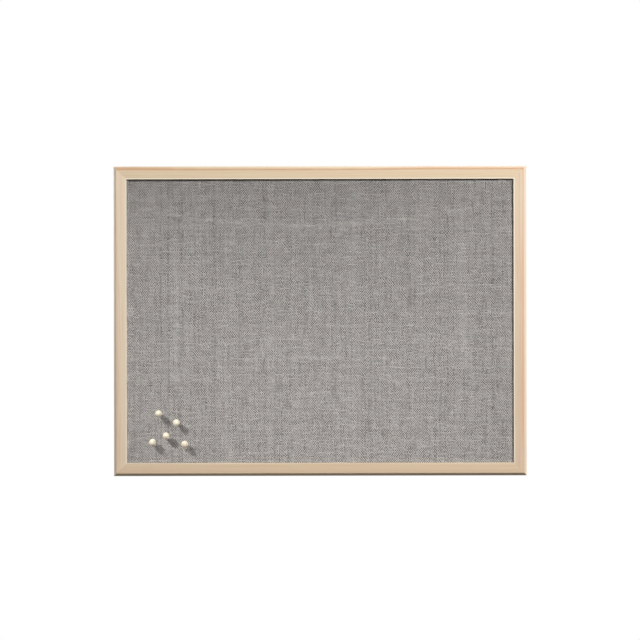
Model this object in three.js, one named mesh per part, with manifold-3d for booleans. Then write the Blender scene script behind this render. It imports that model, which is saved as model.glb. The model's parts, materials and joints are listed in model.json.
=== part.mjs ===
// Framed linen pin board with wooden push pins.
// Millimetres. X runs right, Z up, and the front faces -Y.
// The origin is the middle of the board on the plane of the frame's rear face (y = 0).

import * as THREE from 'three';
import { mergeVertices } from 'three/addons/utils/BufferGeometryUtils.js';
import Module from 'manifold-3d';

const wasm = await Module();
wasm.setup();

// Outside of the frame
const BOARD_WIDTH = 600;
const BOARD_HEIGHT = 450;

// Frame moulding
const FRAME_WIDTH = 19; // sight edge to outer edge
const LIP_WIDTH = 6; // part of the moulding that overlaps the panel
const LIP_DEPTH = 4;
const OUTER_CHAMFER_WIDTH = 4; // seen from the front
const OUTER_CHAMFER_DEPTH = 6.5;
const SIGHT_ARRIS = 1;
const BACK_RECESS = 2.4; // back panel to the frame's rear face

// Layers held in the rebate
const COVER_THICKNESS = 0.8;
const CORE_THICKNESS = 8;
const BACK_THICKNESS = 2.5;
const HEM_WIDTH = 22; // fabric turned in on the back of the core
const PANEL_CLEARANCE = 1; // between the panel's edges and the rebate

// Fits
const LAYER_GAP = 0.2; // between layers that lie on one another
const GLUE_LINE = 0.1; // glue in a mitre, under a pad or a hanger
const DRIVE_CLEARANCE = 0.25; // round anything driven into wood or board
const OVERCUT = 1; // cutting shapes run this far past a face

// V-nail across each mitre
const V_NAIL_WING = 5;
const V_NAIL_THICKNESS = 0.6;
const V_NAIL_HEIGHT = 8;
const V_NAIL_SPREAD = 60; // degrees from the mitre line to a wing
const V_NAIL_SUNK = 0.3; // below the rear face

// Staples through the hem
const STAPLE_WIRE = 0.5;
const STAPLE_CROWN = 10;
const STAPLE_LEG = 6;
const STAPLES_LONG_SIDE = 3;
const STAPLES_SHORT_SIDE = 2;

// Retaining points over the back panel
const POINT_LENGTH = 16;
const POINT_WIDTH = 6;
const POINT_THICKNESS = 0.4;
const POINT_BITE = 8; // driven into the rebate wall
const POINTS_LONG_SIDE = 3;
const POINTS_SHORT_SIDE = 2;

// Ring hangers on the stiles
const HANGER_DROP = 60; // top edge to the ring axis
const STRAP_WIDTH = 7;
const STRAP_LENGTH = 25; // ring axis to lower end
const STRAP_THICKNESS = 0.7;
const STRAP_CURL = 200; // degrees of the knuckle
const RING_WIRE_RADIUS = 0.9;
const RING_HALF_WIDTH = 5.3; // middle to the wire's centre line
const RING_DROP = 10; // ring axis to the wire's centre line below it
const RING_CORNER = 2;
const RING_SPLIT = 0.5; // between the wire's ends, inside the knuckle
const RING_CLEARANCE = 0.2; // round the wire in the knuckle

// Hanger screws
const SCREW_DROP = 18; // below the ring axis
const SCREW_SHANK_RADIUS = 1.4;
const SCREW_LENGTH = 10;
const SCREW_TIP = 3;
const SCREW_HEAD_RADIUS = 2.8;
const SCREW_HEAD_HEIGHT = 1.9;
const SCREW_SLOT_WIDTH = 0.8;
const SCREW_SLOT_LENGTH = 3.2;
const SCREW_SLOT_DEPTH = 1;

// Felt pads on the bottom rail
const PAD_RADIUS = 5;
const PAD_THICKNESS = 4;
const PAD_INSET = 35; // from the outer edge of a stile

// Push pins
const PIN_BALL_RADIUS = 4.95;
const PIN_BALL_HEIGHT = 10.5; // foot to the ball's centre
const PIN_FOOT_RADIUS = 1.9;
const PIN_NECK_ANGLE = 30; // where the neck leaves the ball, degrees below its middle
const PIN_STAND_OFF = 0.5; // least space between foot and fabric
const NEEDLE_RADIUS = 0.55;
const NEEDLE_REACH = 9; // beyond the foot
const NEEDLE_TIP = 2.5;
const NEEDLE_BITE = 6; // inside the head

// Where each needle goes in, from the lower left corner of the sight opening,
// and how the pin leans: degrees off square, and the way the head goes (0 is right, 90 is up).
const PIN_SPOTS = [
  { right: 47.3, up: 71.3, lean: 6, towards: 120 },
  { right: 73.2, up: 58.6, lean: 4, towards: 150 },
  { right: 58.6, up: 35.2, lean: 25, towards: 101 },
  { right: 40.5, up: 24.6, lean: 33, towards: 113 },
  { right: 84.7, up: 19.3, lean: 42, towards: 92 },
];

// Sizes that follow from the ones above
const WALL_WIDTH = FRAME_WIDTH - LIP_WIDTH;
const SIGHT_WIDTH = BOARD_WIDTH - 2 * FRAME_WIDTH;
const SIGHT_HEIGHT = BOARD_HEIGHT - 2 * FRAME_WIDTH;
const PANEL_WIDTH = BOARD_WIDTH - 2 * (WALL_WIDTH + PANEL_CLEARANCE);
const PANEL_HEIGHT = BOARD_HEIGHT - 2 * (WALL_WIDTH + PANEL_CLEARANCE);
const WRAP = COVER_THICKNESS + LAYER_GAP;
const CORE_WIDTH = PANEL_WIDTH - 2 * WRAP;
const CORE_HEIGHT = PANEL_HEIGHT - 2 * WRAP;
const STAPLE_ROOM = LAYER_GAP + STAPLE_WIRE + LAYER_GAP;
const WALL_MIDDLE = LIP_WIDTH + WALL_WIDTH / 2; // outward from the sight edge
const HANGER_HEIGHT = BOARD_HEIGHT / 2 - HANGER_DROP;

// Depth planes, from the rear face forward
const BACK_REAR = -BACK_RECESS;
const BACK_FRONT = BACK_REAR - BACK_THICKNESS;
const HEM_REAR = BACK_FRONT - STAPLE_ROOM;
const CORE_REAR = HEM_REAR - WRAP;
const CORE_FRONT = CORE_REAR - CORE_THICKNESS;
const COVER_FRONT = CORE_FRONT - WRAP;
const LIP_REAR = COVER_FRONT - LAYER_GAP;
const FRAME_FRONT = LIP_REAR - LIP_DEPTH;

const ROUND = 20; // sides of a turned piece
const WIRE_SIDES = 10;

const MATERIALS = {
  pine: { color: '#dfc9ab', roughness: 0.6, metalness: 0 },
  linen: { color: '#9b9793', roughness: 0.95, metalness: 0 },
  softboard: { color: '#a98d6a', roughness: 0.9, metalness: 0 },
  hardboard: { color: '#7a5a3e', roughness: 0.75, metalness: 0 },
  steel: { color: '#b9bcc0', roughness: 0.35, metalness: 1 },
  felt: { color: '#4c4a47', roughness: 1, metalness: 0 },
  beech: { color: '#efe3cb', roughness: 0.5, metalness: 0 },
};

const board = new THREE.Group();
board.name = 'pin_board';

function piece(parent, name, material, geometry) {
  const mesh = new THREE.Mesh(geometry, new THREE.MeshStandardMaterial(MATERIALS[material]));
  mesh.name = name;
  parent.add(mesh);
  return mesh;
}

function group(parent, name, x, y, z, turn = 0) {
  const part = new THREE.Group();
  part.name = name;
  part.position.set(x, y, z);
  part.rotation.y = THREE.MathUtils.degToRad(turn);
  parent.add(part);
  return part;
}

function solidOf(geometry) {
  const bare = geometry.clone();
  bare.deleteAttribute('normal');
  bare.deleteAttribute('uv');
  const merged = mergeVertices(bare, 1e-4);
  const vertProperties = new Float32Array(merged.getAttribute('position').array);
  const triVerts = new Uint32Array(merged.getIndex().array);
  return new wasm.Manifold(new wasm.Mesh({ numProp: 3, vertProperties, triVerts }));
}

function geometryOf(solid) {
  const mesh = solid.getMesh();
  const geometry = new THREE.BufferGeometry();
  geometry.setAttribute('position', new THREE.BufferAttribute(mesh.vertProperties, 3));
  geometry.setIndex(new THREE.BufferAttribute(mesh.triVerts, 1));
  geometry.computeVertexNormals();
  return geometry;
}

function cut(geometry, cutters) {
  let solid = solidOf(geometry);
  for (const cutter of cutters) {
    solid = solid.subtract(solidOf(cutter));
  }
  return geometryOf(solid);
}

// Box between two corners.
function block(x0, x1, y0, y1, z0, z1) {
  const box = new THREE.BoxGeometry(x1 - x0, y1 - y0, z1 - z0);
  return box.translate((x0 + x1) / 2, (y0 + y1) / 2, (z0 + z1) / 2);
}

// Outline drawn in x and z, made solid from y = front to y = rear.
function plate(outline, front, rear) {
  const flat = new THREE.ExtrudeGeometry(outline, { depth: rear - front, bevelEnabled: false });
  return flat.rotateX(Math.PI / 2).translate(0, rear, 0);
}

// Outline drawn in z and y, made solid along x, centred.
function bar(outline, length) {
  const stick = new THREE.ExtrudeGeometry(outline, { depth: length, bevelEnabled: false });
  return stick.translate(0, 0, -length / 2).rotateY(-Math.PI / 2);
}

function outlineOf(points) {
  return new THREE.Shape(points.map(([across, up]) => new THREE.Vector2(across, up)));
}

// Positions of a row of equal steps, centred on the middle of a side.
function spaced(count, length) {
  return Array.from({ length: count }, (_, i) => ((i + 0.5) / count - 0.5) * length);
}

// Frame: each rail is drawn lying along x, with its sight edge at z = 0
// and its outer edge at z = FRAME_WIDTH.

function railBlank(sightLength) {
  const profile = outlineOf([
    [0, FRAME_FRONT + SIGHT_ARRIS],
    [SIGHT_ARRIS, FRAME_FRONT],
    [FRAME_WIDTH - OUTER_CHAMFER_WIDTH, FRAME_FRONT],
    [FRAME_WIDTH, FRAME_FRONT + OUTER_CHAMFER_DEPTH],
    [FRAME_WIDTH, 0],
    [LIP_WIDTH, 0],
    [LIP_WIDTH, LIP_REAR],
    [0, LIP_REAR],
  ]);
  const blank = bar(profile, sightLength);
  const points = blank.getAttribute('position');
  for (let i = 0; i < points.count; i += 1) {
    const mitre = points.getZ(i) - GLUE_LINE;
    const x = points.getX(i);
    points.setX(i, x + Math.sign(x) * mitre);
  }
  return blank;
}

// V drawn in the corner's own x and z, which start at the sight corner and run outwards.
function vNail(clearance, rear) {
  const angle = THREE.MathUtils.degToRad(45 + V_NAIL_SPREAD);
  const wing = new THREE.Vector2(Math.cos(angle), Math.sin(angle));
  wing.multiplyScalar(V_NAIL_WING + clearance);
  const apex = LIP_WIDTH + (WALL_WIDTH - V_NAIL_WING * Math.sin(angle)) / 2;
  const half = V_NAIL_THICKNESS / 2 + clearance;
  const step = half / Math.sin(THREE.MathUtils.degToRad(V_NAIL_SPREAD)) / Math.SQRT2;
  const inner = apex - step;
  const outer = apex + step;
  const side = new THREE.Vector2(-wing.y, wing.x).setLength(half);
  const outline = outlineOf([
    [inner, inner],
    [apex + wing.y + side.y, apex + wing.x + side.x],
    [apex + wing.y - side.y, apex + wing.x - side.x],
    [outer, outer],
    [apex + wing.x - side.x, apex + wing.y - side.y],
    [apex + wing.x + side.x, apex + wing.y + side.y],
  ]);
  return plate(outline, -V_NAIL_SUNK - V_NAIL_HEIGHT - clearance, rear);
}

function cornerSlots(sightLength) {
  const right = vNail(DRIVE_CLEARANCE, OVERCUT).translate(sightLength / 2, 0, 0);
  const left = vNail(DRIVE_CLEARANCE, OVERCUT).rotateY(-Math.PI / 2).translate(-sightLength / 2, 0, 0);
  return [right, left];
}

// Retaining point: its tip is driven into the rebate wall and its square end lies over the back panel.
function retainingPoint(clearance) {
  const half = POINT_WIDTH / 2 + clearance;
  const tip = LIP_WIDTH + POINT_BITE + clearance;
  const tail = LIP_WIDTH + POINT_BITE - POINT_LENGTH;
  const outline = outlineOf([
    [-half, tail],
    [half, tail],
    [half, tip - half],
    [0, tip],
    [-half, tip - half],
  ]);
  const front = BACK_REAR + LAYER_GAP;
  return plate(outline, front - clearance, front + POINT_THICKNESS + clearance);
}

function screwHole(along) {
  const depth = SCREW_LENGTH + DRIVE_CLEARANCE;
  const radius = SCREW_SHANK_RADIUS + DRIVE_CLEARANCE;
  const drill = new THREE.CylinderGeometry(radius, radius, depth + OVERCUT, ROUND);
  return drill.translate(along, (OVERCUT - depth) / 2, WALL_MIDDLE);
}

const SIDES = [
  { name: 'top', kind: 'rail', turn: 0, x: 0, z: 1 },
  { name: 'right', kind: 'stile', turn: 90, x: 1, z: 0 },
  { name: 'bottom', kind: 'rail', turn: 180, x: 0, z: -1 },
  { name: 'left', kind: 'stile', turn: -90, x: -1, z: 0 },
];

for (const side of SIDES) {
  const isRail = side.kind === 'rail';
  const sightLength = isRail ? SIGHT_WIDTH : SIGHT_HEIGHT;
  const x = side.x * SIGHT_WIDTH / 2;
  const z = side.z * SIGHT_HEIGHT / 2;
  const place = group(board, `${side.name}_side`, x, 0, z, side.turn);
  const pointsAlong = spaced(isRail ? POINTS_LONG_SIDE : POINTS_SHORT_SIDE, sightLength);
  const cutters = cornerSlots(sightLength);
  for (const along of pointsAlong) {
    cutters.push(retainingPoint(DRIVE_CLEARANCE).translate(along, 0, 0));
  }
  if (!isRail) {
    cutters.push(screwHole(-side.x * (HANGER_HEIGHT - SCREW_DROP)));
  }
  piece(place, `${side.name}_${side.kind}`, 'pine', cut(railBlank(sightLength), cutters));
  pointsAlong.forEach((along, i) => {
    const point = piece(place, `${side.name}_point_${i + 1}`, 'steel', retainingPoint(0));
    point.position.x = along;
  });
}

const CORNERS = [
  { name: 'top_right', turn: 0, x: 1, z: 1 },
  { name: 'bottom_right', turn: 90, x: 1, z: -1 },
  { name: 'bottom_left', turn: 180, x: -1, z: -1 },
  { name: 'top_left', turn: -90, x: -1, z: 1 },
];

for (const corner of CORNERS) {
  const x = corner.x * SIGHT_WIDTH / 2;
  const z = corner.z * SIGHT_HEIGHT / 2;
  const place = group(board, `${corner.name}_corner`, x, 0, z, corner.turn);
  piece(place, `${corner.name}_v_nail`, 'steel', vNail(0, -V_NAIL_SUNK));
}

// Push pins: each is drawn standing on y with its needle going in at the origin.

function pinFrame(spot) {
  const lean = THREE.MathUtils.degToRad(spot.lean);
  const towards = THREE.MathUtils.degToRad(spot.towards);
  const axis = new THREE.Vector3(
    Math.sin(lean) * Math.cos(towards), -Math.cos(lean), Math.sin(lean) * Math.sin(towards));
  const entry = new THREE.Vector3(spot.right - SIGHT_WIDTH / 2, COVER_FRONT, spot.up - SIGHT_HEIGHT / 2);
  const turn = new THREE.Quaternion().setFromUnitVectors(new THREE.Vector3(0, 1, 0), axis);
  const footHeight = PIN_FOOT_RADIUS * Math.tan(lean) + PIN_STAND_OFF;
  return { entry, turn, footHeight };
}

function pinHead() {
  const angle = THREE.MathUtils.degToRad(PIN_NECK_ANGLE);
  const neckRun = (PIN_BALL_RADIUS * Math.cos(angle) - PIN_FOOT_RADIUS) / Math.tan(angle);
  const neckStart = PIN_BALL_HEIGHT - PIN_BALL_RADIUS * Math.sin(angle);
  const skin = new THREE.Path();
  skin.moveTo(PIN_FOOT_RADIUS, 0);
  skin.quadraticCurveTo(
    PIN_FOOT_RADIUS, neckStart - neckRun, PIN_BALL_RADIUS * Math.cos(angle), neckStart);
  skin.absarc(0, PIN_BALL_HEIGHT, PIN_BALL_RADIUS, -angle, Math.PI / 2, false);
  const bore = NEEDLE_RADIUS + DRIVE_CLEARANCE;
  const boreEnd = NEEDLE_BITE + DRIVE_CLEARANCE;
  const profile = [
    new THREE.Vector2(0, boreEnd),
    new THREE.Vector2(bore, boreEnd),
    new THREE.Vector2(bore, 0),
    ...skin.getPoints(5),
  ];
  profile[profile.length - 1].x = 0;
  return new THREE.LatheGeometry(profile, ROUND);
}

function needle() {
  const profile = [
    new THREE.Vector2(0, -NEEDLE_REACH),
    new THREE.Vector2(NEEDLE_RADIUS, NEEDLE_TIP - NEEDLE_REACH),
    new THREE.Vector2(NEEDLE_RADIUS, NEEDLE_BITE),
    new THREE.Vector2(0, NEEDLE_BITE),
  ];
  return new THREE.LatheGeometry(profile, WIRE_SIDES);
}

function needleBore(spot) {
  const { entry, turn, footHeight } = pinFrame(spot);
  const radius = NEEDLE_RADIUS + DRIVE_CLEARANCE;
  const depth = NEEDLE_REACH - footHeight + DRIVE_CLEARANCE;
  const over = OVERCUT + footHeight;
  const drill = new THREE.CylinderGeometry(radius, radius, depth + over, WIRE_SIDES);
  return drill.translate(0, (over - depth) / 2, 0).applyQuaternion(turn).translate(...entry.toArray());
}

PIN_SPOTS.forEach((spot, i) => {
  const { entry, turn, footHeight } = pinFrame(spot);
  const place = group(board, `pin_${i + 1}`, ...entry.toArray());
  place.quaternion.copy(turn);
  piece(place, `pin_${i + 1}_head`, 'beech', pinHead()).position.y = footHeight;
  piece(place, `pin_${i + 1}_needle`, 'steel', needle()).position.y = footHeight;
});

// Covered panel: staples first, because their legs go through both the hem and the core.

function staple() {
  const half = STAPLE_CROWN / 2;
  const inside = half - STAPLE_WIRE;
  const outline = outlineOf([
    [-half, -STAPLE_LEG],
    [-inside, -STAPLE_LEG],
    [-inside, 0],
    [inside, 0],
    [inside, -STAPLE_LEG],
    [half, -STAPLE_LEG],
    [half, STAPLE_WIRE],
    [-half, STAPLE_WIRE],
  ]);
  const wire = new THREE.ExtrudeGeometry(outline, { depth: STAPLE_WIRE, bevelEnabled: false });
  return wire.translate(0, 0, -STAPLE_WIRE / 2);
}

function stapleHoles(place) {
  place.updateWorldMatrix(true, false);
  const half = STAPLE_WIRE / 2 + DRIVE_CLEARANCE;
  const leg = (STAPLE_CROWN - STAPLE_WIRE) / 2;
  return [-leg, leg].map((x) => {
    const hole = block(x - half, x + half, -STAPLE_LEG - DRIVE_CLEARANCE, OVERCUT, -half, half);
    return hole.applyMatrix4(place.matrixWorld);
  });
}

const panelCutters = PIN_SPOTS.map(needleBore);
let stapleNumber = 0;
for (const side of SIDES) {
  const isRail = side.kind === 'rail';
  const x = side.x * (PANEL_WIDTH - HEM_WIDTH) / 2;
  const z = side.z * (PANEL_HEIGHT - HEM_WIDTH) / 2;
  const count = isRail ? STAPLES_LONG_SIDE : STAPLES_SHORT_SIDE;
  const hem = group(board, `${side.name}_hem`, x, HEM_REAR + LAYER_GAP, z, side.turn);
  for (const along of spaced(count, isRail ? CORE_WIDTH : CORE_HEIGHT)) {
    stapleNumber += 1;
    const tack = piece(hem, `cover_staple_${stapleNumber}`, 'steel', staple());
    tack.position.x = along;
    panelCutters.push(...stapleHoles(tack));
  }
}

const halfCoreX = CORE_WIDTH / 2;
const halfCoreZ = CORE_HEIGHT / 2;
const core = block(-halfCoreX, halfCoreX, CORE_FRONT, CORE_REAR, -halfCoreZ, halfCoreZ);
piece(board, 'core_board', 'softboard', cut(core, panelCutters));

const halfPanelX = PANEL_WIDTH / 2;
const halfPanelZ = PANEL_HEIGHT / 2;
const wrapped = block(-halfPanelX, halfPanelX, COVER_FRONT, HEM_REAR, -halfPanelZ, halfPanelZ);
const pocket = block(
  COVER_THICKNESS - halfPanelX, halfPanelX - COVER_THICKNESS,
  COVER_FRONT + COVER_THICKNESS, HEM_REAR - COVER_THICKNESS,
  COVER_THICKNESS - halfPanelZ, halfPanelZ - COVER_THICKNESS);
const hemWindow = block(
  HEM_WIDTH - halfPanelX, halfPanelX - HEM_WIDTH,
  CORE_REAR, HEM_REAR + OVERCUT,
  HEM_WIDTH - halfPanelZ, halfPanelZ - HEM_WIDTH);
piece(board, 'linen_cover', 'linen', cut(wrapped, [pocket, hemWindow, ...panelCutters]));

const back = block(-halfPanelX, halfPanelX, BACK_FRONT, BACK_REAR, -halfPanelZ, halfPanelZ);
piece(board, 'back_panel', 'hardboard', back);

// Ring hangers: each is drawn with the ring's axis along x at z = 0 and the stile's rear face at y = 0.

const KNUCKLE_INSIDE = RING_WIRE_RADIUS + RING_CLEARANCE;
const KNUCKLE_OUTSIDE = KNUCKLE_INSIDE + STRAP_THICKNESS;
const RING_AXIS = GLUE_LINE + KNUCKLE_OUTSIDE;

function strap() {
  const foot = -Math.PI / 2;
  const end = foot + THREE.MathUtils.degToRad(STRAP_CURL);
  const outline = new THREE.Shape();
  outline.moveTo(-STRAP_LENGTH, GLUE_LINE);
  outline.lineTo(0, GLUE_LINE);
  outline.absarc(0, RING_AXIS, KNUCKLE_OUTSIDE, foot, end, false);
  outline.lineTo(KNUCKLE_INSIDE * Math.cos(end), RING_AXIS + KNUCKLE_INSIDE * Math.sin(end));
  outline.absarc(0, RING_AXIS, KNUCKLE_INSIDE, end, foot, true);
  outline.lineTo(-STRAP_LENGTH, GLUE_LINE + STRAP_THICKNESS);
  const half = STRAP_WIDTH / 2;
  const plan = new THREE.Shape();
  plan.moveTo(half, 2 * KNUCKLE_OUTSIDE);
  plan.lineTo(-half, 2 * KNUCKLE_OUTSIDE);
  plan.absarc(0, half - STRAP_LENGTH, half, Math.PI, 2 * Math.PI, false);
  const strip = solidOf(bar(outline, 2 * STRAP_WIDTH));
  const rounded = strip.intersect(solidOf(plate(plan, -OVERCUT, RING_AXIS + 2 * KNUCKLE_OUTSIDE)));
  const radius = SCREW_SHANK_RADIUS + DRIVE_CLEARANCE;
  const hole = new THREE.CylinderGeometry(radius, radius, 4 * STRAP_THICKNESS, ROUND);
  return geometryOf(rounded.subtract(solidOf(hole.translate(0, 0, -SCREW_DROP))));
}

class FlatCurve extends THREE.Curve {
  constructor(path) {
    super();
    this.path = path;
  }

  getPoint(t, target = new THREE.Vector3()) {
    const spot = this.path.getPointAt(t);
    return target.set(spot.x, 0, spot.y);
  }
}

function ring() {
  const corner = RING_HALF_WIDTH - RING_CORNER;
  const bow = RING_HALF_WIDTH - RING_DROP;
  const wire = new THREE.Path();
  wire.moveTo(RING_SPLIT / 2, 0);
  wire.lineTo(corner, 0);
  wire.absarc(corner, -RING_CORNER, RING_CORNER, Math.PI / 2, 0, true);
  wire.lineTo(RING_HALF_WIDTH, bow);
  wire.absarc(0, bow, RING_HALF_WIDTH, 0, -Math.PI, true);
  wire.lineTo(-RING_HALF_WIDTH, -RING_CORNER);
  wire.absarc(-corner, -RING_CORNER, RING_CORNER, Math.PI, Math.PI / 2, true);
  wire.lineTo(-RING_SPLIT / 2, 0);
  const section = new THREE.Shape();
  section.absarc(0, 0, RING_WIRE_RADIUS, 0, 2 * Math.PI, false);
  return new THREE.ExtrudeGeometry(section, {
    extrudePath: new FlatCurve(wire), steps: 40, curveSegments: WIRE_SIDES / 2,
  });
}

function screw() {
  const flat = SCREW_HEAD_RADIUS / 2;
  const crown = new THREE.Path();
  crown.moveTo(SCREW_HEAD_RADIUS, SCREW_HEAD_HEIGHT / 3);
  crown.quadraticCurveTo(SCREW_HEAD_RADIUS, SCREW_HEAD_HEIGHT, flat, SCREW_HEAD_HEIGHT);
  const under = GLUE_LINE + STRAP_THICKNESS + GLUE_LINE;
  const profile = [
    new THREE.Vector2(0, -SCREW_LENGTH - under),
    new THREE.Vector2(SCREW_SHANK_RADIUS, SCREW_TIP - SCREW_LENGTH - under),
    new THREE.Vector2(SCREW_SHANK_RADIUS, 0),
    new THREE.Vector2(SCREW_HEAD_RADIUS, 0),
    ...crown.getPoints(5),
    new THREE.Vector2(0, SCREW_HEAD_HEIGHT),
  ];
  const turned = new THREE.LatheGeometry(profile, ROUND);
  const half = SCREW_SLOT_LENGTH / 2;
  const slot = SCREW_SLOT_WIDTH / 2;
  const floor = SCREW_HEAD_HEIGHT - SCREW_SLOT_DEPTH;
  const across = block(-half, half, floor, SCREW_HEAD_HEIGHT + OVERCUT, -slot, slot);
  const along = block(-slot, slot, floor, SCREW_HEAD_HEIGHT + OVERCUT, -half, half);
  return cut(turned, [across, along]).translate(0, under, 0);
}

for (const [name, sign] of [['left', -1], ['right', 1]]) {
  const x = sign * (SIGHT_WIDTH / 2 + WALL_MIDDLE);
  const place = group(board, `${name}_hanger`, x, 0, HANGER_HEIGHT);
  piece(place, `${name}_hanger_strap`, 'steel', strap());
  piece(place, `${name}_hanger_ring`, 'steel', ring()).position.y = RING_AXIS;
  piece(place, `${name}_hanger_screw`, 'steel', screw()).position.z = -SCREW_DROP;
}

// Felt pads hold the lower edge off the wall by as much as the hangers hold the upper one.

for (const [name, sign] of [['left', -1], ['right', 1]]) {
  const disc = new THREE.CylinderGeometry(PAD_RADIUS, PAD_RADIUS, PAD_THICKNESS, ROUND);
  const pad = piece(board, `${name}_felt_pad`, 'felt', disc);
  const x = sign * (BOARD_WIDTH / 2 - PAD_INSET);
  pad.position.set(x, GLUE_LINE + PAD_THICKNESS / 2, -SIGHT_HEIGHT / 2 - WALL_MIDDLE);
}

export default board;
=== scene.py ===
"""Dresses the linen pin board: pine frame, stretched linen, hangers and turned push pins."""

import json
import math

import bmesh
import bpy
from bpy.props import FloatProperty, FloatVectorProperty, PointerProperty
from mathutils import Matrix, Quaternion, Vector


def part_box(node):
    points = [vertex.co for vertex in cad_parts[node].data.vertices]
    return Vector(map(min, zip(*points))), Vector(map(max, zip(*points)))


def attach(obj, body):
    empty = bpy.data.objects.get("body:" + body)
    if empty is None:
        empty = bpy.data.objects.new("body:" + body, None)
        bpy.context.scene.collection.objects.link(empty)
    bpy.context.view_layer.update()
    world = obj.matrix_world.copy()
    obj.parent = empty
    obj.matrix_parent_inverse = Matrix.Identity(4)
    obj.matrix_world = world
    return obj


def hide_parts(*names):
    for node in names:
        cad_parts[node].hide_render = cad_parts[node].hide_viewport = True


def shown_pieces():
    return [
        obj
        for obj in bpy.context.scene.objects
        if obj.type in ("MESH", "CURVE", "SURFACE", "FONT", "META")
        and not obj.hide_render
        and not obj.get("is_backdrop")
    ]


bl_info = {
    "name": "Linen pin board",
    "version": (1, 0, 0),
    "blender": (4, 5, 0),
    "location": "3D View > Sidebar > Pin Board",
    "description": "Models and finishes a framed linen pin board around its solids",
    "category": "Object",
}

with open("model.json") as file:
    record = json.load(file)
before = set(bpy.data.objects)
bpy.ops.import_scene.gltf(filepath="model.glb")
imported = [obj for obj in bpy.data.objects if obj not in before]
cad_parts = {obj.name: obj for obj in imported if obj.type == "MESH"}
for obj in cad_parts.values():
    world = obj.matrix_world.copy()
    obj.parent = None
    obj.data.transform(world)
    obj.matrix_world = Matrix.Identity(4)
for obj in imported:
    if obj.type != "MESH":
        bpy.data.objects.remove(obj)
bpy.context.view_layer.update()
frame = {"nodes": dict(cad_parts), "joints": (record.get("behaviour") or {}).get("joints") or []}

MM = 0.001
TINY = 0.01 * MM  # room for rounding where faces and edges are picked by their place
SEAM = TINY / 10  # points this close are one point
UP, REAR = Vector((0, 0, 1)), Vector((0, 1, 0))
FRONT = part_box("top_rail")[0].y
SIGHT_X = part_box("right_stile")[0].x
SIGHT_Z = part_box("top_rail")[0].z
FRAME_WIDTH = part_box("top_rail")[1].z - SIGHT_Z
JOINTS = {joint["child"]: joint for joint in frame["joints"]}

# Each side of the frame: its kind of moulding, its turn from the top one in degrees, and its
# number of retaining points.
SIDES = {
    "top": ("rail", 0, 3),
    "right": ("stile", 90, 2),
    "bottom": ("rail", 180, 3),
    "left": ("stile", -90, 2),
}
# Pine of each side: where its grain starts, and its shares of blush, heart line and painted
# highlight along its edges.
PINE_LOOKS = {
    "top": (0.35, 0.25, 1.0, 0.9),
    "right": (1.7, 1.0, 0.1, 0.9),
    "bottom": (3.1, 0.15, 0.0, 0.2),
    "left": (4.6, 0.4, 0.05, 0.6),
}
# Pine grain, in millimetres: from ring to ring, and how far each feature holds along the grain.
RING_PITCH = 3.7
RING_RUN, LATE_RUN, HEART_RUN, BLUSH_RUN, FIBRE_RUN = 190, 110, 30, 210, 16
HEART_LINE = 12.9  # millimetres from the sight edge, at the front
HEART_LEAN = 0.5  # outwards for each millimetre further back
HEART_INNER, HEART_OUTER = 1.6, 2.6  # how far the line fades on its two sides
HEART_MIDDLE = -60  # along the rail, where the line runs straight and thin
SWERVE_FROM, SWERVE_TO = 110.0, 280.0  # from there, where it bends outwards and spreads
# Press creases of the linen: start and end, in millimetres right of and above its middle, and
# half width.
CREASES = (
    (-210, 130, -210, -115, 9),
    (207, 180, 209, -85, 8),
    (-55, -53, 48, -53, 5),
    (-94, -38, -94, -88, 4),
    (94, -38, 94, -82, 4),
    (-92, -80, -152, -120, 4),
    (92, -76, 150, -120, 4),
)
# One more sags across the upper part: its height in the middle, its rise for each millimetre to
# the right and for the square of that, its left end, length and half width.
SAG_HEIGHT, SAG_TILT, SAG_CURVE = 139, 0.02, 0.00045
SAG_START, SAG_LENGTH, SAG_HALF_WIDTH = -276, 496, 5.5
CREASE_LIGHT = 0.12  # how much a crease lightens the linen
# Print that the press screen leaves on the boards, in millimetres from ridge to ridge.
SOFTBOARD_SCREEN, HARDBOARD_SCREEN = 9.0, 2.2
# Outline of a screw's head above its edge, in shares of its radius and height.
SCREW_DOME = ((1, 0.3), (0.96, 0.55), (0.84, 0.78), (0.62, 0.93), (0.3, 0.99))
# Each push pin and its share of the warmer wood.
PINS = {1: 0.0, 2: 0.04, 3: 0.16, 4: 0.04, 5: 0.2}
STAPLES = range(1, 11)


def length(name, description, millimetres):
    return FloatProperty(
        name=name, description=description, default=millimetres * MM, min=0, unit="LENGTH"
    )


def number(name, description, default):
    return FloatProperty(name=name, description=description, default=default)


def linear(screen):
    """A screen colour, 0 to 255, as the renderer's own values."""
    parts = [level / 255 for level in screen]
    return [part / 12.92 if part <= 0.04045 else ((part + 0.055) / 1.055) ** 2.4 for part in parts]


def colour(name, description, *screen):
    return FloatVectorProperty(
        name=name, description=description, default=linear(screen), min=0, max=1, subtype="COLOR"
    )


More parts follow.
